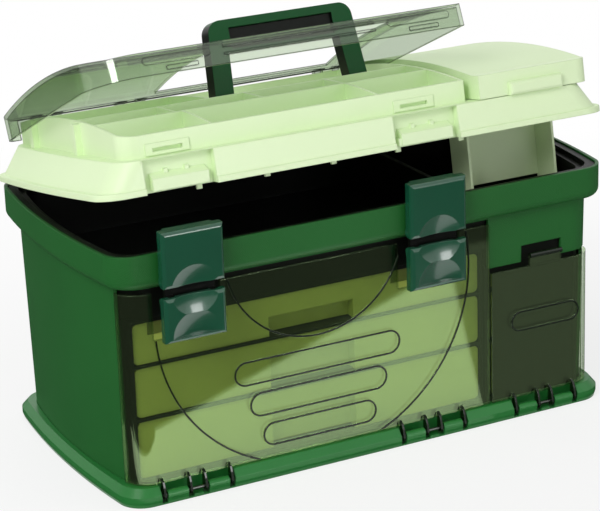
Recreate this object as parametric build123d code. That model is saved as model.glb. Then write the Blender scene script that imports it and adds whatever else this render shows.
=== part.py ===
"""Fishing tackle cabinet: a green plastic case with three drawers behind a clear drop-down
door, a short side door, an open tub with a hanging rack, and a tray lid under a clear cover.

Millimetres. X runs along the front from left to right, Y goes back, Z is up. The origin is the
middle of the plinth's underside. Lid pieces are drawn shut and then swung to the stored pose:
lid part open, clear cover part open, handle standing, doors and drawers shut.
"""

from build123d import *
import os

os.makedirs("parts", exist_ok=True)

# ---------------------------------------------------------------- driving dimensions
case_length = 527.0
case_depth = 275.0
rim_top = 235.0
rim_low = 203.5
rim_round = 8.5
rim_reach = 10.0
side_bow = 12.0
front_bow = 1.0
corner = 24.0
draft = 3.0

plinth_length = 521.0
plinth_depth = 278.0
plinth_top = 17.0

wall = 3.0
thin_wall = 2.5
gap = 0.3
running = 0.05
relief_high = 0.8
relief_wide = 1.4
relief_root = 1.6

lid_rest = 10.2
cover_rest = 14.9
handle_rest = -10.0

# ---------------------------------------------------------------- places shared by sub-parts
rim_half_x = case_length / 2
rim_half_y = case_depth / 2
body_half_x = rim_half_x - rim_reach
body_half_y = rim_half_y - rim_reach
foot_half_x = body_half_x - draft
foot_half_y = body_half_y - draft
rim_inner_low = 211.0
shell_floor = 4.2

latch_left_x = -184.5
latch_right_x = 60.0
latch_half = 29.5

door_front_y = -131.5
door_wall = 3.0
door_low = 18.0
door_high = 197.0
door_right_x = 125.5
door_return_y = -111.0
door_axis_y = -135.0
door_axis_z = 8.0
main_hinge_x = [latch_left_x, latch_right_x]
side_hinge_x = [184.0]
tine_offsets = [-33.2, -7.5, 7.5, 33.2]
tine_thick = 2.0

ring_x = -57.0
rings = [(165.0, 160.0), (217.0, 91.0)]
door_slots = [(85.0, 103.7, 23.3), (70.5, 71.8, 23.5), (58.5, 40.7, 22.6)]

side_door_left_x = 128.0
side_door_high = 148.0
tab_left_x = 170.0
tab_right_x = 205.0
tab_high = 160.0

bay_left_x = -240.0
bay_right_x = 125.0
bay_front_y = -119.0
bay_back_y = 113.0
bay_top = 171.5
bay_head_room = 0.9

drawer_front_y = -116.6
drawer_left_x = -231.5
drawer_right_x = 121.0
drawer_back_y = 98.0
latch_clear_z = 154.0
notch_half = latch_half + 3.0
drawers = [
    ("drawer_top", 128.0, 166.0, 19.0, 3),
    ("drawer_middle", 78.0, 124.2, 29.5, 2),
    ("drawer_bottom", 20.0, 73.8, 34.5, 1),
]
pull_left_x = -98.5
pull_right_x = -12.0

lid_axis_y = 143.5
lid_axis_z = 236.0
lid_low = 236.5
deck_top = 266.4
tray_left_x = -228.0
tray_right_x = 113.0
tray_front_y = -121.0
tray_back_y = 124.0
crown_centre_y = 5.0
crown_span = 125.0
crown_edge = 286.0
crown_rise = 11.0

cover_axis_y = 129.0
cover_axis_z = 284.0
cover_low = 268.8
side_cover_left_x = 121.5
side_cover_axis_y = 130.0
side_cover_axis_z = 270.6

handle_axis_y = 8.0
handle_axis_z = 274.5
handle_centre_x = 1.5
handle_half = 80.3
handle_top_half = 74.5
handle_leg = 19.0
handle_straight = 16.0
handle_height = 88.0
handle_thick = 16.0
handle_bar = 31.0
grip_inset = 26.0
grip_recess = 5.0
grip_low = handle_axis_z + handle_height - handle_bar + 3.0
grip_high = handle_axis_z + handle_height - 8.0


# ---------------------------------------------------------------- shape helpers
def box(x0, x1, y0, y1, z0, z1):
    """A block between two corners."""
    middle = Pos((x0 + x1) / 2, (y0 + y1) / 2, (z0 + z1) / 2)
    return middle * Box(x1 - x0, y1 - y0, z1 - z0)


def outline(half_x, half_y, radius, z, bow=side_bow):
    """The case's plan at one height: a rounded rectangle with bowed sides."""
    x = half_x - bow
    y = half_y - front_bow
    sides = [
        ThreePointArc((-x, -y), (0, -half_y), (x, -y)),
        ThreePointArc((x, -y), (half_x, 0), (x, y)),
        ThreePointArc((x, y), (0, half_y), (-x, y)),
        ThreePointArc((-x, y), (-half_x, 0), (-x, -y)),
    ]
    face = make_face(sides)
    return Pos(0, 0, z) * fillet(face.vertices(), radius)


def prism(half_x, half_y, radius, z0, z1, bow=side_bow):
    """The case's plan drawn up between two heights."""
    return extrude(outline(half_x, half_y, radius, z0, bow), z1 - z0)


def taper(low, high, bow=side_bow):
    """A loft between two plans, each given as half_x, half_y, radius, z."""
    return loft([outline(*low, bow), outline(*high, bow)], ruled=True)


def case_outside():
    """The case's outer form: tapered walls and the rim, whose underside is rounded."""
    foot = (foot_half_x, foot_half_y, corner - 2, shell_floor)
    top = (body_half_x, body_half_y, corner, rim_low)
    rim = prism(rim_half_x, rim_half_y, corner + 1, rim_low, rim_top)
    rim = fillet(rim.edges().group_by(Axis.Z)[0], rim_round)
    return taper(foot, top) + prism(body_half_x, body_half_y, corner, rim_low, rim_low + 1) + rim


def rod(x0, x1, y, z, radius):
    """A round bar along X."""
    turned = Plane(origin=(x0, y, z), z_dir=(1, 0, 0))
    return extrude(turned * Circle(radius), x1 - x0)


def profile_x(points, x0, x1):
    """A straight-sided YZ outline drawn along X."""
    plane = Plane(origin=(x0, 0, 0), x_dir=(0, 1, 0), z_dir=(1, 0, 0))
    return extrude(plane * make_face(Polyline(*points, close=True)), x1 - x0)


def crown(x0, x1, lift=0.0, low=200.0):
    """Everything under the lid's crowned top, from one X to another."""
    y0 = crown_centre_y - crown_span
    y1 = crown_centre_y + crown_span
    edge = crown_edge + lift
    arc = ThreePointArc((y0, edge), (crown_centre_y, edge + crown_rise), (y1, edge))
    plane = Plane(origin=(x0, 0, 0), x_dir=(0, 1, 0), z_dir=(1, 0, 0))
    reach = 40.0
    right = [(y1, edge), (y1 + reach, edge), (y1 + reach, low)]
    left = [(y0 - reach, low), (y0 - reach, edge), (y0, edge)]
    sides = Polyline(*right, *left)
    return extrude(plane * make_face([arc, sides]), x1 - x0)


def relief(sketch, x, y, z):
    """A low moulded line, drawn on a front face from just inside its skin."""
    plane = Plane(origin=(x, y + relief_root, z), x_dir=(1, 0, 0), z_dir=(0, -1, 0))
    return extrude(plane * sketch, relief_root + relief_high)


def pill_line(x0, x1, y, z, height):
    """A moulded line round a slot shape."""
    outer = SlotOverall(x1 - x0, height)
    inner = SlotOverall(x1 - x0 - 2 * relief_wide, height - 2 * relief_wide)
    return relief(outer - inner, (x0 + x1) / 2, y, z)


def lean_handle(part):
    """From the upright handle's place to the stored one, leaning back."""
    return part.rotate(Axis((0, handle_axis_y, handle_axis_z), (1, 0, 0)), handle_rest)


def swing_lid(part):
    """From the shut lid's place to the stored, part-open one."""
    return part.rotate(Axis((0, lid_axis_y, lid_axis_z), (1, 0, 0)), -lid_rest)


def swing_cover(part):
    """From the shut clear cover's place to the stored one."""
    own = part.rotate(Axis((0, cover_axis_y, cover_axis_z), (1, 0, 0)), -cover_rest)
    return swing_lid(own)


def save(part, name):
    export_step(part, f"parts/{name}.step")


# ---------------------------------------------------------------- base and case
hinge_sets = main_hinge_x + side_hinge_x
knuckle_radius = 4.2
pin_radius = 1.5


def plinth():
    """The flared green base with its hinge pockets along the front."""
    half_x = plinth_length / 2
    half_y = plinth_depth / 2
    foot_inset = 1.5
    foot_high = 5.0
    flank_high = 10.0
    top_inset = 5.0
    foot_size = (half_x - foot_inset, half_y - foot_inset, corner, 0)
    body = taper(foot_size, (half_x, half_y, corner + 2, foot_high), 10)
    body += prism(half_x, half_y, corner + 2, foot_high, flank_high, 10)
    top_size = (half_x - top_inset, half_y - top_inset, corner, plinth_top)
    body += taper((half_x, half_y, corner + 2, flank_high), top_size, 10)
    seat = prism(foot_half_x + gap, foot_half_y + gap, corner - 2, shell_floor - 0.2, plinth_top + 1)
    body -= seat
    pocket_half = tine_offsets[-1] + 3.2
    pocket_back = -foot_half_y - gap
    outside = -half_y - 5
    for x in hinge_sets:
        body -= box(x - pocket_half, x + pocket_half, outside, pocket_back, door_axis_z, plinth_top + 1)
        for left, right in [(-30.3, -10.4), (10.4, 30.3)]:
            body += rod(x + left, x + right, door_axis_y, door_axis_z, knuckle_radius)
        for offset in tine_offsets:
            body -= box(x + offset - 2.8, x + offset + 2.8, outside, pocket_back, 1.6, plinth_top + 1)
        body -= box(x - 5.0, x + 5.0, outside, pocket_back, 3.5, plinth_top + 1)
        body -= rod(x - pocket_half, x + pocket_half, door_axis_y, door_axis_z, pin_radius + running)
    return body


def case_shell():
    """The green outer walls with the flared rim, cut away in front for the two doors."""
    body = case_outside()
    inner_foot = (foot_half_x - wall, foot_half_y - wall, corner - 5, shell_floor)
    inner_top = (body_half_x - wall, body_half_y - wall, corner - 3, rim_low)
    body -= taper(inner_foot, inner_top)
    body -= prism(body_half_x - wall, body_half_y - wall, corner - 3, rim_low, rim_top)
    body -= prism(rim_half_x - wall, rim_half_y - wall, corner - 2, rim_inner_low + wall, rim_top)
    door_bottom = door_low - 4
    front = -rim_half_y - 1
    rear = door_return_y + 1
    split_x = door_right_x + 1
    body -= box(-rim_half_x, split_x, front, rear, door_bottom, 201)
    body -= box(split_x, rim_half_x, front, rear, door_bottom, 152.0)
    body -= box(163.5, 208.0, front, -110, 151, 168)
    for x in [-180.0, 0.0, 180.0]:
        for side in (-1, 1):
            low_x = x + side * 17 - 8
            knuckle = rod(low_x, low_x + 16, lid_axis_y, lid_axis_z, 5)
            web = box(low_x, low_x + 16, rim_half_y - 1, lid_axis_y, rim_top - 10, lid_axis_z - 1)
            knuckle += web
            body += knuckle
            body -= rod(low_x - 1, low_x + 17, lid_axis_y, lid_axis_z, 2.2 + running)
    return body


def tub_liner():
    """The black tub: a wide shallow tray over the drawers and a deeper well for the rack."""
    half_x = body_half_x - wall - 1.2
    half_y = body_half_y - wall - 1.2
    flange_low = 227.0
    top = rim_top - 1.5
    tub_floor = 172.0
    deep_floor = 153.0
    left = prism(half_x, half_y, corner - 2, tub_floor, flange_low)
    deep = prism(half_x, half_y, corner - 2, deep_floor, tub_floor) & box(127, 300, -200, 200, 100, 300)
    flange = prism(rim_half_x - wall - gap, rim_half_y - wall - gap, corner - 2, flange_low, top)
    body = left + deep + flange
    hollow = prism(half_x - thin_wall, half_y - thin_wall, corner - 4, deep_floor + thin_wall, top + 1)
    room = prism(half_x + 4, half_y + 4, corner - 2, flange_low + 2, top + 1)
    body -= hollow & box(-300, 124.5, -200, 200, tub_floor + thin_wall, 300)
    body -= hollow & box(127 + thin_wall, 300, -200, 200, deep_floor + thin_wall, 300)
    body -= hollow & box(-300, 300, -200, 200, 215, 300)
    body -= room
    return body


def drawer_bay():
    """The black carcass that the drawers run in."""
    block = box(bay_left_x, bay_right_x, bay_front_y, bay_back_y, shell_floor + 0.1, bay_top)
    inside = prism(foot_half_x - wall - gap, foot_half_y - wall - gap, corner - 6, 0, bay_top + 1)
    half_x = body_half_x - 0.5 - door_wall - gap
    half_y = -door_front_y - door_wall - gap
    behind_door = prism(half_x, half_y, corner - 4, plinth_top + gap, 200)
    behind_door &= box(-300, 300, -200, door_return_y, 0, 200)
    body = block & (inside + behind_door)
    side_play = 0.8
    left = drawer_left_x - side_play
    right = drawer_right_x + side_play
    for name, low, high, pull, count in drawers:
        body -= box(left, right, bay_front_y - 1, bay_back_y - 3, low - 0.4, high + bay_head_room)
    relief_inset = 14.0
    floor = drawers[2][1] - 4
    near = bay_front_y + relief_inset
    far = bay_back_y - relief_inset
    under = box(bay_left_x + 22, bay_right_x - 12, near, far, 0, floor)
    return body - under


def side_bin():
    """The black store behind the short side door, open in front."""
    left = 127.0
    half_x = foot_half_x - wall - gap
    half_y = foot_half_y - wall - gap
    top = 152.5
    plan = prism(half_x, half_y, corner - 6, shell_floor + 0.1, top)
    body = plan & box(left, 300, bay_front_y, 200, 0, 200)
    hollow = prism(half_x - thin_wall, half_y - thin_wall, corner - 8, door_low, top - thin_wall)
    body -= hollow & box(left + thin_wall, 300, bay_front_y - 5, bay_back_y, 0, 200)
    body -= box(left + 12, half_x - 22, bay_front_y + 14, bay_back_y - 14, 0, door_low - thin_wall)
    return body


# ---------------------------------------------------------------- drawers
def drawer(low, high, pull):
    """One drawer: a rounded front with a finger pull under it and an open box behind."""
    front_thick = 4.0
    plane = Plane(origin=(0, drawer_front_y, 0), x_dir=(1, 0, 0), z_dir=(0, -1, 0))
    middle_x = (drawer_left_x + drawer_right_x) / 2
    width = drawer_right_x - drawer_left_x
    face = plane * Pos(middle_x, (low + high) / 2) * RectangleRounded(width, high - low, 5)
    body = extrude(face, -front_thick)
    left = drawer_left_x + 2.5
    right = drawer_right_x - 2.5
    box_front = drawer_front_y + front_thick
    body += box(left, right, box_front, drawer_back_y, low + 0.8, high - 3)
    body -= box(left + 2, right - 2, box_front, drawer_back_y - 2, low + 3, high)
    depth = 11.0
    wall_back = drawer_front_y + depth + 2
    body += box(pull_left_x - 2, pull_right_x + 2, box_front, wall_back, low + 0.8, low + pull + 2)
    body -= box(pull_left_x, pull_right_x, drawer_front_y - 1, drawer_front_y + depth, low - 1, low + pull)
    for x in (latch_left_x, latch_right_x):
        notch = (x - notch_half, x + notch_half, drawer_front_y - 1, box_front)
        body -= box(*notch, latch_clear_z, latch_clear_z + 40)
    return body


def header_plate(x):
    """A plate under the bay's header that fills the top drawer's notch behind one latch."""
    half = notch_half - gap
    header_low = drawers[0][2] + bay_head_room
    return box(x - half, x + half, drawer_front_y, drawer_front_y + 4.0, latch_clear_z + gap, header_low)


def dividers(low, high, count):
    """Loose cross walls that stand across one drawer, clear of its pull and of the latches."""
    front = drawer_front_y + 14.0
    back = drawer_back_y - 2.6
    top = high - 6.0
    if low < latch_clear_z < high:
        top = latch_clear_z - 0.5
    step = (drawer_right_x - drawer_left_x) / (count + 1)
    centres = [drawer_left_x + step * (index + 1) for index in range(count)]
    return Compound([box(x - 0.8, x + 0.8, front, back, low + 3.0, top) for x in centres])


# ---------------------------------------------------------------- doors
def door_ring(x0, x1, z0, z1):
    """Part of the clear skin that wraps the case's front corners."""
    half_x = body_half_x - 0.5
    half_y = -door_front_y
    outer = prism(half_x, half_y, corner, z0, z1)
    inner = prism(half_x - door_wall, half_y - door_wall, corner - door_wall, z0 - 1, z1 + 1)
    return (outer - inner) & box(x0, x1, -200, door_return_y, z0, z1)


def tines(centres):
    """Upright clear hinge plates, four to a set, that reach down to the pin."""
    outer_y = door_front_y - 6.0
    tip = 4.4
    side = [
        (door_front_y + 1, door_low + 6),
        (outer_y + 2, door_low + 3),
        (outer_y, door_low - 2),
        (door_axis_y - tip, door_axis_z),
        (door_axis_y - tip * 0.7, door_axis_z - tip * 0.7),
        (door_axis_y, door_axis_z - tip),
        (door_axis_y + tip * 0.7, door_axis_z - tip * 0.7),
        (door_axis_y + tip, door_axis_z),
        (door_front_y + 1, door_low),
    ]
    plates = []
    for x in centres:
        for offset in tine_offsets:
            low_x = x + offset - tine_thick / 2
            plate = profile_x(side, low_x, low_x + tine_thick)
            plate -= rod(low_x - 1, low_x + tine_thick + 1, door_axis_y, door_axis_z, pin_radius + running)
            plates.append(plate)
    return plates


def main_door():
    """The big clear door: ringed and slotted relief, corner return, bays for the latches."""
    body = door_ring(-rim_half_x, door_right_x, door_low, door_high)
    trim = box(-220, door_right_x - 2, -140, -120, door_low + 1, door_high - 1)
    for z, radius in rings:
        circle = Circle(radius) - Circle(radius - relief_wide)
        body += relief(circle, ring_x, door_front_y, z) & trim
    for half_width, z, height in door_slots:
        body += pill_line(ring_x - half_width, ring_x + half_width, door_front_y, z, height)
    bay_low = latch_clear_z - 1
    for x in (latch_left_x, latch_right_x):
        body -= box(x - notch_half, x + notch_half, -150, -120, bay_low, door_high + 1)
    for plate in tines(main_hinge_x):
        body += plate
    return body


def side_door():
    """The short clear door that wraps the right corner, with a pull tab in the case's notch."""
    body = door_ring(side_door_left_x, rim_half_x, door_low, side_door_high)
    body += box(tab_left_x, tab_right_x, door_front_y, door_front_y + door_wall, side_door_high - 1, tab_high)
    body += rod(tab_left_x, tab_right_x, door_front_y, tab_high - 1.5, 2.5)
    body += pill_line(149, 225, door_front_y, 95, 20)
    for plate in tines(side_hinge_x):
        body += plate
    return body


def door_pins(centres):
    reach = tine_offsets[-1] + 1.4
    return Compound([rod(x - reach, x + reach, door_axis_y, door_axis_z, pin_radius) for x in centres])


# ---------------------------------------------------------------- latches
latch_axis_y = -143.0
upper_axis_z = 209.5
lower_axis_z = 192.5
latch_front_y = -151.6
latch_back_y = -141.5
latch_edge = 4.0
latch_split_z = 201.0
lug_near = 17.0
lug_far = 23.0
bracket_front_y = -139.6
bracket_half = 24.0
bracket_low = 187.0
bracket_top = 227.0
scoop_ball = 62.0
scoop_depth = 4.4


def latch_bracket(x):
    """The plate on the rim that carries both flaps of one latch on forward lugs."""
    body = box(x - bracket_half, x + bracket_half, bracket_front_y, -rim_half_y + 2, bracket_low, bracket_top)
    body -= case_outside()
    for axis_z in (upper_axis_z, lower_axis_z):
        for side in (-1, 1):
            x0 = x + min(side * lug_near, side * lug_far)
            x1 = x + max(side * lug_near, side * lug_far)
            body += rod(x0, x1, latch_axis_y, axis_z, 3.6)
            body += box(x0, x1, latch_axis_y, bracket_front_y + 0.5, axis_z - 3.6, axis_z + 3.6)
            body -= rod(x0 - 1, x1 + 1, latch_axis_y, axis_z, pin_radius + running)
    return body


def flap(x, axis_z, far_z, up):
    """One latch flap, a thick rounded plate on its pin. up is 1 for the lid's, -1 for the door's."""
    reach = abs(far_z - axis_z)
    tail = 4.0
    front = latch_front_y - latch_axis_y
    back = latch_back_y - latch_axis_y
    side = [(front, -1.0), (front + 1.3, -3.6), (front + 2.0, -tail), (-1.5, -tail), (2.2, -2.2), (3.1, 0)]
    side += [(back + 1.0, 3.0), (back, 5.0)]
    side += [(back, reach), (front, reach)]
    points = [(latch_axis_y + y, axis_z + up * z) for y, z in side]
    body = profile_x(points, x - latch_half, x + latch_half)
    face = body.faces().sort_by(Axis.Y)[0]
    edges = face.edges().sort_by(Axis.Z)
    near = edges[0] if up > 0 else edges[-1]
    body = fillet([edge for edge in edges if edge != near], latch_edge)
    for low, high in [(-lug_far - 0.4, -lug_near + 0.4), (lug_near - 0.4, lug_far + 0.4)]:
        tall = 5.2
        slot = (x + low, x + high, latch_axis_y - 4.3, -130, axis_z - tall, axis_z + tall)
        body -= box(*slot)
    body -= rod(x - latch_half + 5, x + latch_half - 5, latch_axis_y, axis_z, pin_radius + running)
    return body


def scoop(x, z):
    """The ball that presses a finger hollow into a flap's face."""
    return Pos(x, latch_front_y - scoop_ball + scoop_depth, z) * Sphere(scoop_ball)


def upper_flap(x):
    """The flap that stands up and hooks over the lid's keeper."""
    top = 256.5
    body = flap(x, upper_axis_z, top, 1)
    body += box(x - 23, x + 23, latch_back_y - 1, latch_back_y + 4.8, top - 4.0, top - 0.5)
    return body - scoop(x, latch_split_z)


def lower_flap(x):
    """The flap that hangs down in the main door's bay."""
    bottom = 155.0
    lip = 4.0
    arch = scoop(x, bottom + lip) & box(x - 50, x + 50, -260, -100, bottom + lip, latch_split_z)
    return flap(x, lower_axis_z, bottom, -1) - scoop(x, latch_split_z) - arch


def latch_pins():
    half = lug_far + 0.5
    rods = []
    for x in (latch_left_x, latch_right_x):
        for axis_z in (upper_axis_z, lower_axis_z):
            rods.append(rod(x - half, x + half, latch_axis_y, axis_z, pin_radius))
    return Compound(rods)


# ---------------------------------------------------------------- lid
skirt_half_x = 261.5
skirt_half_y = 136.5
deck_half_x = 241.5
deck_half_y = 134.5
row_walls = [(-60.0, -57.8), (-20.0, -17.5)]
tray_corner = 17.0
tray_floor = 243.5
well_floor = 262.0
lid_walls = 2.2
front_cells = [-141.0, 24.0]
second_cells = [-148.0, -61.0, 23.0]
recess_back_y = -127.0
keeper_half = 26.5
keeper_low = 238.5
keeper_step = 249.0
keeper_top = 254.0
keeper_front_y = -135.4
lip_high = 5.5
rack_open = (137.0, 230.0, -108.0, 104.0)
hook_start_x = -162.7
hook_pitch = 66.0
hook_count = 5


def lid_skin():
    """The lid's hollow skirt and flat deck."""
    hem = (skirt_half_x, skirt_half_y, corner - 1, lid_low)
    outer = taper(hem, (deck_half_x, deck_half_y, corner, deck_top), 7)
    lip = prism(skirt_half_x + 1.8, skirt_half_y + 1.0, corner, lid_low, lid_low + lip_high, 7)
    outer += fillet(lip.edges().group_by(Axis.Z)[-1], 1.0)
    low = (skirt_half_x - thin_wall, skirt_half_y - thin_wall, corner - 3, lid_low)
    high = (deck_half_x - thin_wall, deck_half_y - thin_wall, corner - 2, deck_top - thin_wall)
    return outer - taper(low, high, 7)


def cell(x0, x1, y0, y1, floor):
    """One tray pocket with rounded lower corners, open above."""
    pocket = box(x0, x1, y0, y1, floor, 320)
    return fillet(pocket.edges().group_by(Axis.Z)[0], 3.0)


def split(x0, x1, walls):
    """The X spans left between cross walls."""
    half = lid_walls / 2
    starts = [x0] + [x + half for x in walls]
    ends = [x - half for x in walls] + [x1]
    return list(zip(starts, ends))


def tray_cells():
    """Every pocket of the lid's tray: two front rows, two rear pockets, and the handle's well."""
    left = tray_left_x + thin_wall
    right = tray_right_x - thin_wall
    front = tray_front_y + thin_wall
    back = tray_back_y - thin_wall
    corner_cell, *front_row = split(left, right, front_cells)
    pocket = cell(*corner_cell, front, row_walls[0][0], tray_floor)
    inner = box(left, left + 200, front, front + 200, tray_floor, 330)
    near = inner.edges().filter_by(Axis.Z).group_by(Axis.X)[0].sort_by(Axis.Y)[0]
    pockets = [pocket & fillet(near, tray_corner - thin_wall)]
    pockets += [cell(a, b, front, row_walls[0][0], tray_floor) for a, b in front_row]
    second = (row_walls[0][1], row_walls[1][0])
    pockets += [cell(a, b, *second, tray_floor) for a, b in split(left, right, second_cells)]
    rear_right = -97.0
    third, fourth = split(row_walls[1][1], back, [71.0])
    pockets.append(cell(left, rear_right, *third, tray_floor))
    pockets += [cell(a, b, *fourth, tray_floor) for a, b in split(left, rear_right, [-160.0])]
    pockets.append(cell(rear_right + lid_walls, right, row_walls[1][1], back, well_floor))
    return pockets


def lid_tray():
    """The cream lid: skirt, crowned tray box, latch recesses, hinge knuckles and side deck."""
    body = lid_skin()
    block = box(tray_left_x, tray_right_x, tray_front_y, tray_back_y, tray_floor - 2.5, 310)
    front_left = block.edges().filter_by(Axis.Z).group_by(Axis.X)[0].sort_by(Axis.Y)[0]
    body += fillet(front_left, tray_corner) & crown(tray_left_x - 1, tray_right_x + 1)
    for pocket in tray_cells():
        body -= pocket
    for y in (83.0, -26.0):
        rib = box(tray_left_x - 6, tray_left_x + 1, y - 4, y + 4, deck_top - 1, 305)
        body += rib & crown(tray_left_x - 7, tray_left_x + 2, -2)
    x0, x1, y0, y1 = rack_open
    body -= box(x0, x1, y0, y1, deck_top - 10, deck_top + 5)
    for x in (latch_left_x + 2, latch_right_x + 2):
        half = 33.5
        back = recess_back_y
        body += box(x - half - 2, x + half + 2, -134, back + thin_wall, lid_low, deck_top - 1)
        body -= box(x - half, x + half, -140, back, lid_low - 1, deck_top - 0.4)
        slope = [(keeper_front_y, keeper_low), (keeper_front_y, keeper_step), (back + 1, keeper_top)]
        body += profile_x(slope + [(back + 1, keeper_low)], x - keeper_half, x + keeper_half)
        for nub in (-13.0, 7.0):
            body += box(x + nub, x + nub + 4, back - 2.5, back + 1, keeper_step + 3, keeper_top + 2)
        slot_x = x - 3.5
        body += box(slot_x - 21, slot_x + 21, tray_front_y - 1.0, tray_front_y + 1, deck_top + 1, 278)
        body -= box(slot_x - 14, slot_x + 14, tray_front_y - 2, tray_front_y + 4, 270.4, 273.6)
    for index in range(hook_count):
        x = hook_start_x + hook_pitch * index
        body += box(x - 2.5, x + 2.5, -134.5, -125, lid_low + 2, lid_low + 9)
        body += box(x - 2.5, x + 2.5, -126.8, -124.3, lid_low - 4, lid_low + 9)
    for x in (-180.0, 0.0, 180.0):
        body += rod(x - 8.6, x + 8.6, lid_axis_y, lid_axis_z, 5)
        body += box(x - 8.6, x + 8.6, skirt_half_y - 3, lid_axis_y, lid_axis_z + 1.5, lid_axis_z + 5)
        body -= rod(x - 9, x + 9, lid_axis_y, lid_axis_z, 2.2 + running)
    for x in cover_lugs:
        body += rod(x, x + 10, cover_axis_y, cover_axis_z, 4)
        body += box(x, x + 10, cover_axis_y - 4, cover_axis_y + 4, deck_top - 1, cover_axis_z)
        body -= rod(x - 1, x + 11, cover_axis_y, cover_axis_z, pin_radius + running)
    for x in side_cover_lugs:
        body += rod(x, x + 10, side_cover_axis_y, side_cover_axis_z, 3.5)
        lug = (side_cover_axis_y - 3.5, side_cover_axis_y + 3.5, deck_top - 1, side_cover_axis_z)
        body += box(x, x + 10, *lug)
        body -= rod(x - 1, x + 11, side_cover_axis_y, side_cover_axis_z, pin_radius + running)
    for side in (-1, 1):
        near = handle_half - handle_leg - 1.0
        x0 = handle_centre_x + min(side * near, side * (near - 5))
        ear = box(x0, x0 + 5, handle_axis_y - 7, handle_axis_y + 7, well_floor - 1, handle_axis_z)
        ear += rod(x0, x0 + 5, handle_axis_y, handle_axis_z, 7)
        body += ear
        body -= rod(x0 - 1, x0 + 6, handle_axis_y, handle_axis_z, 3 + running)
    return body


cover_lugs = [-205.0, -118.0, 98.0]
side_cover_lugs = [140.0, 215.0]


def cover_pins():
    rods = [rod(x - 9.5, x + 9.5, cover_axis_y, cover_axis_z, pin_radius) for x in cover_lugs]
    return Compound(rods)


def side_cover_pins():
    rods = [rod(x - 9.5, x + 9.5, side_cover_axis_y, side_cover_axis_z, pin_radius) for x in side_cover_lugs]
    return Compound(rods)


def lid_pins():
    rods = [rod(x - 24, x + 24, lid_axis_y, lid_axis_z, 2.2) for x in (-180.0, 0.0, 180.0)]
    return Compound(rods)


def handle_pins():
    rods = []
    for side in (-1, 1):
        near = handle_half - handle_leg - 5.8
        far = handle_half - 3.0
        x0 = handle_centre_x + min(side * near, side * far)
        rods.append(rod(x0, x0 + far - near, handle_axis_y, handle_axis_z, 3))
    return Compound(rods)


# ---------------------------------------------------------------- covers
cover_half_x = 246.0
cover_front_y = -128.6
cover_right_x = 118.5
window = (-92.0, 96.0, -48.0, 112.0)


def cover_plan(inset, z0, z1):
    """The clear cover's plan: big rounded left front corner, square right end."""
    x0 = -cover_half_x + inset
    x1 = cover_right_x - inset
    y0 = cover_front_y + inset
    y1 = tray_back_y + 2.0 - inset
    body = box(x0, x1, y0, y1, z0, z1)
    left = body.edges().filter_by(Axis.Z).group_by(Axis.X)[0].sort_by(Axis.Y)
    body = fillet(left[0], 47.0 - inset)
    near = body.edges().filter_by(Axis.Z).group_by(Axis.X)[0].sort_by(Axis.Y)
    return fillet(near[-1], 14.0 - inset / 2)


def clear_cover():
    """The clear crowned cover over the tray, with a window that the handle stands in."""
    skin = 2.4
    over = 3.6
    cover_web_low = 288.1
    cover_web_high = 289.8
    body = cover_plan(0, cover_low, 320) & crown(-300, 300, over)
    body -= cover_plan(skin, cover_low - 1, 320) & crown(-300, 300, over - skin)
    x0, x1, y0, y1 = window
    body -= box(x0, x1, y0, y1, cover_low - 1, 330)
    body -= box(-230, cover_right_x + 1, tray_back_y - 0.5, tray_back_y + 3, cover_low - 1, 287.4)
    body -= box(-300, 300, cover_axis_y - 4.6, 200, cover_low - 1, cover_axis_z + 4.6)
    for x in cover_lugs:
        for low_x in (x - 10.4, x + 10.4):
            knuckle = rod(low_x, low_x + 10, cover_axis_y, cover_axis_z, 4)
            knuckle += box(low_x, low_x + 10, tray_back_y - 4, cover_axis_y, cover_web_low, cover_web_high)
            web = (cover_axis_y - 3, cover_axis_y + 2, cover_axis_z, cover_web_high)
            knuckle += box(low_x, low_x + 10, *web)
            body += knuckle
            body -= rod(low_x - 1, low_x + 11, cover_axis_y, cover_axis_z, pin_radius + running)
    ridge = SlotOverall(64.0, 6.5)
    for middle_x in (-167.0, 73.0):
        pill = relief(ridge, middle_x, cover_front_y, 281.5)
        body += fillet(pill.faces().sort_by(Axis.Y)[0].edges(), 0.5)
        body += relief(Rectangle(30, 3.5), middle_x + 4, cover_front_y, 273.5)
    for z in (277.5, 284.5):
        body += relief(Rectangle(150, 2), -47, cover_front_y, z)
    return body


def side_cover():
    """The cream cover over the rack's opening, with a grip lip in front."""
    skin = 2.4
    low = deck_top + 0.5
    corner_radius = 14.0
    over = 3.0
    front = -deck_half_y + 1.0
    back = tray_back_y + 1.5
    right = deck_half_x + 1.0

    def plan(inset, z0):
        block = box(side_cover_left_x + inset, right - inset, front + inset, back - inset, z0, 320)
        outer_edges = block.edges().filter_by(Axis.Z).group_by(Axis.X)[-1]
        return fillet(outer_edges, corner_radius - inset)

    body = plan(0, low) & crown(100, 300, over)
    body -= plan(skin, low - 1) & crown(100, 300, over - skin)
    grip = box(152, 209, front - 6, front + 1, low - 0.3, low + 12)
    body += fillet(grip.faces().sort_by(Axis.Y)[0].edges(), 3.0)
    for x in side_cover_lugs:
        for low_x in (x - 10.4, x + 10.4):
            knuckle = rod(low_x, low_x + 10, side_cover_axis_y, side_cover_axis_z, 3.5)
            web_top = side_cover_axis_z + 3.5
            knuckle += box(low_x, low_x + 10, back - 1, side_cover_axis_y, side_cover_axis_z, web_top)
            body += knuckle
            body -= rod(low_x - 1, low_x + 11, side_cover_axis_y, side_cover_axis_z, pin_radius + running)
    return body


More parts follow.
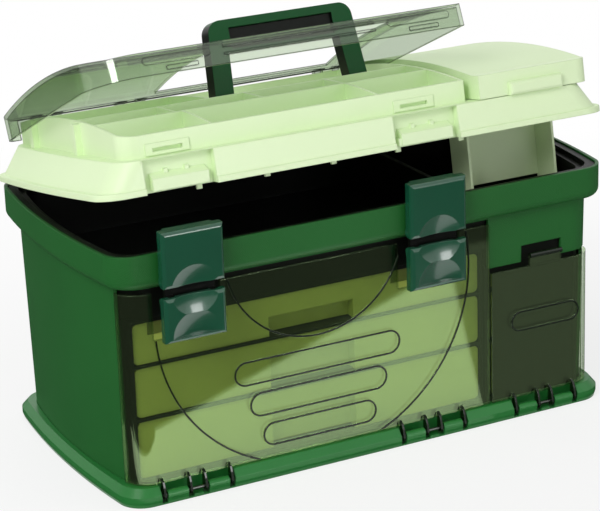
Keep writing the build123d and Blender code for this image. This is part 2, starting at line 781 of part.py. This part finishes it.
# ---------------------------------------------------------------- rack and handle
def rack():
    """The cream hanging rack: end panels, back panel and notched rails under the side deck."""
    x0 = 133.0
    x1 = 229.0
    low = 170.0
    top = deck_top - thin_wall - 0.1
    front = -82.0
    back = -50.0
    body = box(x0, x0 + 2.5, front, back, low, top)
    body += box(x1 - 2.5, x1, front, back, low, top)
    body += box(x0, x1, back - 2.5, back, low + 6, top)
    body += box(x0 - 6, x0 + 2.5, front, back, top - 2.5, top)
    body += box(x1 - 2.5, x1 + 4, front, back, top - 2.5, top)
    notch = 2.4
    count = 8
    pitch = (x1 - x0) / (count + 1)
    for y in (front, front + 15):
        rail = box(x0, x1, y, y + 3, top - 24, top - 12)
        for index in range(count):
            x = x0 + pitch * (index + 1)
            rail -= box(x - notch / 2, x + notch / 2, y - 1, y + 4, top - 18, top - 11)
        body += rail
    return body


def handle():
    """The green carrying handle: two legs and a hollow bar with a recessed face."""
    x0 = handle_centre_x - handle_half
    x1 = handle_centre_x + handle_half
    y0 = handle_axis_y - handle_thick / 2
    y1 = handle_axis_y + handle_thick / 2
    knee = handle_axis_z + handle_straight
    top = handle_axis_z + handle_height
    grip_top = top - handle_bar
    lean_in = (handle_half - handle_top_half) / (handle_height - handle_straight)
    inner_half = handle_half - handle_leg
    window_half = inner_half - lean_in * (grip_top - knee)
    front = Plane(origin=(handle_centre_x, y1, 0), x_dir=(1, 0, 0), z_dir=(0, -1, 0))

    def loop(low_half, top_half, low_z, top_z):
        right = [(low_half, low_z), (low_half, knee), (top_half, top_z)]
        left = [(-x, z) for x, z in reversed(right)]
        return make_face(Polyline(*right, *left, close=True))

    body = extrude(front * loop(handle_half, handle_top_half, handle_axis_z, top), handle_thick)
    upper = body.edges().filter_by(Axis.Y).group_by(Axis.Z)[-1]
    body = fillet(upper, 13.0)
    body -= extrude(front * loop(inner_half, window_half, handle_axis_z - 1, grip_top), handle_thick)
    for low_x in (x0, x1 - handle_leg):
        body += rod(low_x, low_x + handle_leg, handle_axis_y, handle_axis_z, handle_thick / 2)
    body -= box(x0 + grip_inset, x1 - grip_inset, y0 - 1, y0 + grip_recess, grip_low, grip_high)
    for low_x in (x0, x1 - handle_leg):
        body -= rod(low_x - 1, low_x + handle_leg + 1, handle_axis_y, handle_axis_z, 3 + running)
    return lean_handle(body)


def handle_panel():
    """The black plate that lines the recess in the handle's bar."""
    x0 = handle_centre_x - handle_half + grip_inset + gap
    x1 = handle_centre_x + handle_half - grip_inset - gap
    floor_y = handle_axis_y - handle_thick / 2 + grip_recess
    plate = box(x0, x1, floor_y - 1.6, floor_y, grip_low + gap, grip_high - gap)
    return lean_handle(plate)


# ---------------------------------------------------------------- export
save(plinth(), "base_plinth")
save(case_shell(), "case_shell")
save(tub_liner(), "tub_liner")
save(drawer_bay(), "drawer_bay")
save(side_bin(), "side_bin")
for name, low, high, pull, count in drawers:
    save(drawer(low, high, pull), name)
    save(dividers(low, high, count), name + "_dividers")
save(main_door(), "main_door")
save(side_door(), "side_door")
save(door_pins(main_hinge_x), "main_door_pins")
save(door_pins(side_hinge_x), "side_door_pins")
for side, x in (("left", latch_left_x), ("right", latch_right_x)):
    save(latch_bracket(x), f"latch_bracket_{side}")
    save(upper_flap(x), f"latch_upper_{side}")
    save(lower_flap(x), f"latch_lower_{side}")
    save(header_plate(x), f"header_plate_{side}")
save(latch_pins(), "latch_pins")
save(swing_lid(lid_tray()), "lid_tray")
save(lid_pins(), "lid_hinge_pins")
save(swing_lid(rack()), "lure_rack")
save(swing_lid(handle()), "carry_handle")
save(swing_lid(handle_panel()), "handle_panel")
save(swing_lid(handle_pins()), "handle_pins")
save(swing_cover(clear_cover()), "clear_cover")
save(swing_lid(cover_pins()), "clear_cover_pins")
save(swing_lid(side_cover()), "side_cover")
save(swing_lid(side_cover_pins()), "side_cover_pins")
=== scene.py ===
import math

import bmesh
import bpy
from mathutils import Matrix, Vector

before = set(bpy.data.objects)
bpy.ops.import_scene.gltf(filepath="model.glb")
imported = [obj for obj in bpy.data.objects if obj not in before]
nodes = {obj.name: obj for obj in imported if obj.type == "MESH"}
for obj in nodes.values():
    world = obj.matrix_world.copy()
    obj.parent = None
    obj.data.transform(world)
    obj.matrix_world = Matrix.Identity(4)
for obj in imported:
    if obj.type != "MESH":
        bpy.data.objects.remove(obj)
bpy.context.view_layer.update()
scene = bpy.context.scene
print("frame loaded:", len(nodes), "nodes")


# the photograph's view, found by fitting a camera to the case's edges; angles in degrees
photo = {
    "wide": 600,  # pixels
    "focalPixels": 2328.7,
    "azimuth": 27.116,
    "elevation": 19.114,
    "roll": -1.962,
    "target": (-0.00505, 0.0, 0.15355),
    "distance": 2.22303,
    "sensor": 36.0,  # millimetres
    "clipEnd": 50.0,
}


def placeCamera():
    side = math.radians(photo["azimuth"])
    up = math.radians(photo["elevation"])
    roll = math.radians(photo["roll"])
    back = Vector((-math.sin(side) * math.cos(up), -math.cos(side) * math.cos(up), math.sin(up)))
    right = (-back).cross(Vector((0, 0, 1))).normalized()
    top = right.cross(-back)
    acrossAxis = right * math.cos(roll) + top * math.sin(roll)
    upAxis = top * math.cos(roll) - right * math.sin(roll)
    place = Matrix((acrossAxis, upAxis, back)).transposed().to_4x4()
    place.translation = Vector(photo["target"]) + back * photo["distance"]
    lens = bpy.data.cameras.new("photoCamera")
    lens.sensor_fit = "HORIZONTAL"
    lens.sensor_width = photo["sensor"]
    lens.lens = photo["sensor"] * photo["focalPixels"] / photo["wide"]
    lens.clip_end = photo["clipEnd"]
    camera = bpy.data.objects.new("photoCamera", lens)
    camera.matrix_world = place
    scene.collection.objects.link(camera)
    scene.camera = camera


placeCamera()
print("camera placed")


# shader maths: a socket that can be added, multiplied and so on, each time by a node of its own
class Flow:
    def __init__(self, tree, socket=None):
        self.tree = tree
        self.socket = socket

    def add(self, kind, settings=None, links=None, out=0):
        node = self.tree.nodes.new(kind)
        for name, value in (settings or {}).items():
            setattr(node, name, value)
        for name, value in (links or {}).items():
            if isinstance(value, Flow):
                self.tree.links.new(value.socket, node.inputs[name])
            else:
                node.inputs[name].default_value = value
        return Flow(self.tree, node.outputs[out])

    def maths(self, operation, first, second=0.0):
        return self.add("ShaderNodeMath", {"operation": operation}, {0: first, 1: second})

    # the colour form of Mix: its factor is socket 0, A and B are 6 and 7, the result is output 2
    def mixColour(self, share, low, high):
        return self.add("ShaderNodeMix", {"data_type": "RGBA"}, {0: share, 6: low, 7: high}, out=2)

    def mixShader(self, share, low, high):
        return self.add("ShaderNodeMixShader", {}, {0: share, 1: low, 2: high})

    def __add__(self, other):
        return self.maths("ADD", self, other)

    def __radd__(self, other):
        return self.maths("ADD", other, self)

    def __sub__(self, other):
        return self.maths("SUBTRACT", self, other)

    def __rsub__(self, other):
        return self.maths("SUBTRACT", other, self)

    def __mul__(self, other):
        return self.maths("MULTIPLY", self, other)

    def __rmul__(self, other):
        return self.maths("MULTIPLY", other, self)

    def __truediv__(self, other):
        return self.maths("DIVIDE", self, other)

    def __rtruediv__(self, other):
        return self.maths("DIVIDE", other, self)

    def __pow__(self, other):
        return self.maths("POWER", self, other)

    def __rpow__(self, other):
        return self.maths("POWER", other, self)

    def __abs__(self):
        return self.maths("ABSOLUTE", self)

    def clamped(self, low=0.0, high=1.0):
        return self.maths("MINIMUM", self.maths("MAXIMUM", self, low), high)


# a colour as a screen shows it, 0 to 255, into the linear one that a socket takes
def screenColour(red, green, blue):
    def linear(level):
        part = level / 255
        return part / 12.92 if part <= 0.04045 else ((part + 0.055) / 1.055) ** 2.4
    return (linear(red), linear(green), linear(blue), 1.0)


def startMaterial(name, fixed):
    material = bpy.data.materials.new(name)
    material.use_nodes = True
    tree = material.node_tree
    shader = tree.nodes["Principled BSDF"]
    for socket, value in fixed.items():
        shader.inputs[socket].default_value = value
    return material, Flow(tree), shader


def plug(flow, target):
    flow.tree.links.new(flow.socket, target)


# moulded plastics, each of two close tones with a fine grain; its relief is in metres
plastics = {
    "caseGreen": {
        "light": (35, 104, 45), "dark": (25, 87, 34),
        "grain": 700.0, "relief": 0.0003, "rough": 0.38, "shine": 0.2, "weave": 0.55,
    },
    "plinthGreen": {
        "light": (40, 124, 56), "dark": (30, 105, 44),
        "grain": 700.0, "relief": 0.0002, "rough": 0.3, "shine": 0.3,
    },
    "cream": {
        "light": (230, 249, 205), "dark": (220, 241, 193),
        "grain": 900.0, "relief": 0.0002, "rough": 0.42, "shine": 0.4,
    },
    "olive": {
        "light": (204, 211, 106), "dark": (186, 193, 92),
        "grain": 900.0, "relief": 0.0002, "rough": 0.42, "shine": 0.4,
    },
    # a darker copy of olive for the header plates: painted shade, the dimming that the smoke door gives the
    # drawer fronts behind it
    "olivePaintedShade": {
        "light": (112, 122, 56), "dark": (100, 110, 48),
        "grain": 900.0, "relief": 0.0002, "rough": 0.42, "shine": 0.2,
    },
    "black": {
        "light": (18, 21, 17), "dark": (7, 9, 7),
        "grain": 800.0, "relief": 0.0003, "rough": 0.36, "shine": 0.12,
    },
    "latchTeal": {
        "light": (22, 86, 60), "dark": (13, 64, 44),
        "grain": 1500.0, "relief": 0.0002, "rough": 0.2, "shine": 0.35, "coat": 0.8,
    },
    "handleGreen": {
        "light": (26, 84, 44), "dark": (16, 62, 32), "sides": (10, 16, 11),
        "grain": 900.0, "relief": 0.0003, "rough": 0.34, "shine": 0.12,
    },
}

# what all of them share
moulding = {
    "edge": 0.0012,  # radius of the edges, as a mould leaves them
    "edgeSamples": 4,
    "cloudScale": 9.0,
    "cloudDetail": 3.0,
    "cloudShare": 0.7,
    "speckDetail": 2.0,
    "speckShare": 0.3,
    "weaveScale": 420.0,
    "weaveDistortion": 1.5,
    "weaveTone": 0.12,
    "roughShift": -0.05,
    "roughSpan": 0.1,
    "coatRough": 0.1,
    "bump": 0.5,
    "sideStart": 0.6,  # the X part of a face's normal past which the colour of the sides comes in
    "sideGain": 6.0,
}


def plasticMaterial(name):
    look = plastics[name]
    material, make, shader = startMaterial(name, {
        "Roughness": look["rough"],
        "Specular IOR Level": look["shine"],
        "Coat Weight": look.get("coat", 0.0),
        "Coat Roughness": moulding["coatRough"],
    })
    where = make.add("ShaderNodeTexCoord", out="Object")
    cloud = make.add("ShaderNodeTexNoise", {}, {
        "Vector": where, "Scale": moulding["cloudScale"], "Detail": moulding["cloudDetail"]})
    speck = make.add("ShaderNodeTexNoise", {}, {
        "Vector": where, "Scale": look["grain"], "Detail": moulding["speckDetail"]})
    tone = (cloud * moulding["cloudShare"] + speck * moulding["speckShare"]).clamped()
    grain = speck
    if "weave" in look:
        cross = make.add("ShaderNodeTexWave", {"bands_direction": "DIAGONAL"}, {
            "Vector": where,
            "Scale": moulding["weaveScale"],
            "Distortion": moulding["weaveDistortion"],
        }, out="Fac")
        tone = (tone + (cross - 0.5) * (moulding["weaveTone"] * look["weave"])).clamped()
        grain = speck + cross * look["weave"]
    paint = make.mixColour(tone, screenColour(*look["dark"]), screenColour(*look["light"]))
    if "sides" in look:
        facing = make.add("ShaderNodeTexCoord", out="Normal")
        turned = abs(make.add("ShaderNodeSeparateXYZ", {}, {"Vector": facing}, out="X"))
        mask = ((turned - moulding["sideStart"]) * moulding["sideGain"]).clamped()
        paint = make.mixColour(mask, paint, screenColour(*look["sides"]))
    plug(paint, shader.inputs["Base Color"])
    plug(look["rough"] + moulding["roughShift"] + moulding["roughSpan"] * speck, shader.inputs["Roughness"])
    rounded = make.add("ShaderNodeBevel", {"samples": moulding["edgeSamples"]}, {"Radius": moulding["edge"]})
    bump = make.add("ShaderNodeBump", {}, {
        "Height": grain, "Distance": look["relief"], "Strength": moulding["bump"], "Normal": rounded})
    plug(bump, shader.inputs["Normal"])
    return material


# clear smoke: light goes straight through with a green tint, darker and more mirror-like at a slant;
# its edges, and the lines raised past the plane of the doors, are painted as opaque dark glossy beads:
# painted shade where clear plastic bends light away, with a real gloss on top
smoke = {
    "tint": (0.80, 0.855, 0.765, 1.0),
    "slantTint": (0.66, 0.75, 0.62, 1.0),
    "tintPower": 2.5,  # powers of the slant with which the slant's tint and the mirror come in
    "mirrorPower": 5.0,
    "mirrorGain": 0.9,
    "mirrorRough": 0.05,
    "round": 0.0008,  # radius of the rounded edges
    "roundSamples": 4,
    "edgeGain": 9.0,
    "edgeCut": 0.1,
    "edgeSamples": 6,
    # the dark finish of the edges and raised lines: painted shade, its gloss is real
    "paintedShadeBead": {"Base Color": screenColour(10, 24, 8), "Roughness": 0.12, "Specular IOR Level": 0.4},
}
panels = {
    "smokeDoor": {
        "base": 0.13,  # share of the mirror straight on
        "mirror": (0.64, 0.87, 0.47, 1.0),
        "edgeWidth": 0.0006,
        "raisedPast": 0.13162,  # before the origin, just past the doors' faces and under the lines' tops
    },
    "smokeCover": {
        "base": 0.08,
        "mirror": (0.86, 0.92, 0.82, 1.0),
        "edgeWidth": 0.0018,
    },
}


def smokeMaterial(name):
    panel = panels[name]
    material, make, shader = startMaterial(name, {
        "Metallic": 1.0,
        "Base Color": panel["mirror"],
        "Roughness": smoke["mirrorRough"],
    })
    rounded = make.add("ShaderNodeBevel", {"samples": smoke["roundSamples"]}, {"Radius": smoke["round"]})
    plug(rounded, shader.inputs["Normal"])
    plain = make.add("ShaderNodeNewGeometry", out="True Normal")
    slant = make.add("ShaderNodeLayerWeight", {}, {"Blend": 0.5, "Normal": plain}, out="Facing")
    clear = make.add("ShaderNodeBsdfTransparent", {}, {"Color": smoke["tint"]})
    deep = make.add("ShaderNodeBsdfTransparent", {}, {"Color": smoke["slantTint"]})
    glass = make.mixShader(slant ** smoke["tintPower"], clear, deep)
    share = (panel["base"] + smoke["mirrorGain"] * slant ** smoke["mirrorPower"]).clamped()
    skin = make.mixShader(share, glass, Flow(make.tree, shader.outputs[0]))
    paintedShadeBead = make.add("ShaderNodeBsdfPrincipled", {}, dict(smoke["paintedShadeBead"], Normal=rounded))
    # an edge is where a bevel bends the normal away from the surface's own
    own = make.add("ShaderNodeNewGeometry", out="Normal")
    bent = make.add("ShaderNodeBevel", {"samples": smoke["edgeSamples"]}, {"Radius": panel["edgeWidth"]})
    level = make.add("ShaderNodeVectorMath", {"operation": "DOT_PRODUCT"}, {0: bent, 1: own}, out="Value")
    line = ((1 - level) * smoke["edgeGain"] - smoke["edgeCut"]).clamped()
    if "raisedPast" in panel:
        where = make.add("ShaderNodeTexCoord", out="Object")
        forward = -1 * make.add("ShaderNodeSeparateXYZ", {}, {"Vector": where}, out="Y")
        line = make.maths("MAXIMUM", line, make.maths("GREATER_THAN", forward, panel["raisedPast"]))
    # edges and raised lines take the dark bead in place of the clear skin: painted shade
    surface = make.mixShader(line, skin, paintedShadeBead)
    plug(surface, make.tree.nodes["Material Output"].inputs["Surface"])
    return material


# dull steel of the hinge pins, in faint streaks
steel = {
    "light": (0.12, 0.13, 0.12, 1.0),
    "dark": (0.05, 0.06, 0.05, 1.0),
    "rough": 0.3,
    "roughLow": 0.24,
    "roughSpan": 0.12,
    "streakScale": 400.0,
}


def steelMaterial():
    material, make, shader = startMaterial("pinSteel", {"Metallic": 1.0, "Roughness": steel["rough"]})
    where = make.add("ShaderNodeTexCoord", out="Object")
    streak = make.add("ShaderNodeTexNoise", {}, {"Vector": where, "Scale": steel["streakScale"]})
    plug(make.mixColour(streak, steel["dark"], steel["light"]), shader.inputs["Base Color"])
    plug(steel["roughLow"] + steel["roughSpan"] * streak, shader.inputs["Roughness"])
    return material


finishes = {name: plasticMaterial(name) for name in plastics}
for panelName in panels:
    finishes[panelName] = smokeMaterial(panelName)
finishes["steel"] = steelMaterial()
print("materials made:", len(finishes))


# which finish each part is moulded in
wear = {
    "base_plinth": "plinthGreen",
    "case_shell": "caseGreen",
    "tub_liner": "black",
    "drawer_bay": "black",
    "side_bin": "black",
    "lid_tray": "cream",
    "lure_rack": "cream",
    "side_cover": "cream",
    "clear_cover": "smokeCover",
    "main_door": "smokeDoor",
    "side_door": "smokeDoor",
    "carry_handle": "handleGreen",
}

# the rest by how their names begin; the pins are steel, the latch brackets and the handle's panel black
families = {
    # the header plates take the darker olive: painted shade in place of the smoke door's dimming
    "header_plate": "olivePaintedShade",
    "drawer_": "olive",
    "latch_upper": "latchTeal",
    "latch_lower": "latchTeal",
}


def finishFor(name):
    if name in wear:
        return finishes[wear[name]]
    for start, finish in families.items():
        if name.startswith(start):
            return finishes[finish]
    return finishes["steel" if name.endswith("pins") else "black"]


for nodeName, node in nodes.items():
    for slot in node.material_slots:
        slot.material = finishFor(nodeName)
print("parts finished:", len(nodes))


# the white studio: a pale floor that keeps a soft shadow and fades to plain white
studio = {
    "floorHalf": 6.0,
    "paper": (0.93, 0.93, 0.93, 1.0),
    "paperRough": 0.9,
    "paperShine": 0.1,
    "white": (1.0, 1.0, 1.0, 1.0),
    "whiteNear": 0.74,  # share of plain white beside the case; it reaches 1 at shadeFar
    "shadeNear": 0.35,  # distances from the origin
    "shadeFar": 1.0,
    "sky": 0.5,
}


def flatCard(name, corners, material):
    card = bmesh.new()
    card.faces.new([card.verts.new(corner) for corner in corners])
    bmesh.ops.recalc_face_normals(card, faces=card.faces)
    mesh = bpy.data.meshes.new(name)
    card.to_mesh(mesh)
    card.free()
    mesh.materials.append(material)
    sheet = bpy.data.objects.new(name, mesh)
    scene.collection.objects.link(sheet)
    return sheet


# 1 for what the camera sees itself, in a mirror or through glass, and 0 for light on the object
def backgroundRays(make):
    camera = make.add("ShaderNodeLightPath", out="Is Camera Ray")
    glossy = make.add("ShaderNodeLightPath", out="Is Glossy Ray")
    through = make.add("ShaderNodeLightPath", out="Is Transmission Ray")
    return (camera + glossy + through).clamped()


def layFloor():
    material, make, shader = startMaterial("floorPaper", {
        "Base Color": studio["paper"],
        "Roughness": studio["paperRough"],
        "Specular IOR Level": studio["paperShine"],
    })
    where = make.add("ShaderNodeTexCoord", out="Object")
    reach = make.add("ShaderNodeVectorMath", {"operation": "LENGTH"}, {0: where}, out="Value")
    fade = ((reach - studio["shadeNear"]) / (studio["shadeFar"] - studio["shadeNear"])).clamped()
    share = studio["whiteNear"] + (1 - studio["whiteNear"]) * fade
    white = make.add("ShaderNodeEmission", {}, {"Color": studio["white"], "Strength": 1.0})
    surface = make.mixShader(share * backgroundRays(make), Flow(make.tree, shader.outputs[0]), white)
    plug(surface, make.tree.nodes["Material Output"].inputs["Surface"])
    half = studio["floorHalf"]
    flatCard("floor", [(-half, -half, 0), (half, -half, 0), (half, half, 0), (-half, half, 0)], material)


def hangSky():
    world = bpy.data.worlds.new("studio")
    scene.world = world
    world.use_nodes = True
    make = Flow(world.node_tree)
    dim = make.add("ShaderNodeBackground", {}, {"Color": studio["white"], "Strength": studio["sky"]})
    full = make.add("ShaderNodeBackground", {}, {"Color": studio["white"], "Strength": 1.0})
    surface = make.mixShader(backgroundRays(make), dim, full)
    plug(surface, world.node_tree.nodes["World Output"].inputs["Surface"])


# cards that only mirrors see. Three lie just over the floor: a dark one all round, a dim one before the
# side door, and a bright one whose slanting edge shows low in the main door
floorCards = {
    "dark": {
        "level": 0.08,
        "height": 0.003,
        "outline": [(-4.0, -4.0), (4.0, -4.0), (4.0, 4.0), (-4.0, 4.0)],
    },
    "dim": {
        "level": 0.26,
        "height": 0.004,
        "outline": [(0.1265, -0.142), (0.345, -0.569), (4.0, -0.569), (4.0, -0.142)],
    },
    "bright": {
        "level": 1.5,
        "height": 0.004,
        "outline": [(-0.4135, -0.142), (0.3203, -0.5205), (0.1265, -0.142)],
    },
}

# the fourth stands upright before the case and puts a light in the latches' scoops
window = {"level": 9.0, "left": (0.3, -2.5), "right": (1.1, -2.3), "low": 0.35, "high": 1.15}


def mirrorCard(name, level, corners):
    material = startMaterial(name, {
        "Base Color": (0.0, 0.0, 0.0, 1.0),
        "Specular IOR Level": 0.0,
        "Emission Color": studio["white"],
        "Emission Strength": level,
    })[0]
    sheet = flatCard(name, corners, material)
    for ray in ("camera", "diffuse", "transmission", "volume_scatter", "shadow"):
        setattr(sheet, "visible_" + ray, False)


def layCards():
    for name, look in floorCards.items():
        mirrorCard(name + "Card", look["level"], [(x, y, look["height"]) for x, y in look["outline"]])
    left, right, low, high = window["left"], window["right"], window["low"], window["high"]
    mirrorCard("windowCard", window["level"], [(*left, low), (*right, low), (*right, high), (*left, high)])


# soft square lamps, aimed where the camera is; sizes in metres, power in watts
lamps = {
    "key": {"place": (-2.4, -1.6, 2.3), "size": 1.4, "power": 58.0},
    "fill": {"place": (2.4, -1.6, 1.4), "size": 1.6, "power": 7.0},
    "back": {"place": (0.4, 2.4, 2.2), "size": 1.6, "power": 14.0},
}


def hangLamp(name):
    look = lamps[name]
    lamp = bpy.data.lights.new(name, "AREA")
    lamp.shape = "SQUARE"
    lamp.size = look["size"]
    lamp.energy = look["power"]
    holder = bpy.data.objects.new(name, lamp)
    holder.location = look["place"]
    aim = Vector(photo["target"]) - holder.location
    holder.rotation_euler = aim.to_track_quat("-Z", "Y").to_euler()
    scene.collection.objects.link(holder)


layFloor()
hangSky()
layCards()
for lampName in lamps:
    hangLamp(lampName)
scene.view_settings.view_transform = "Standard"
print("studio lit")
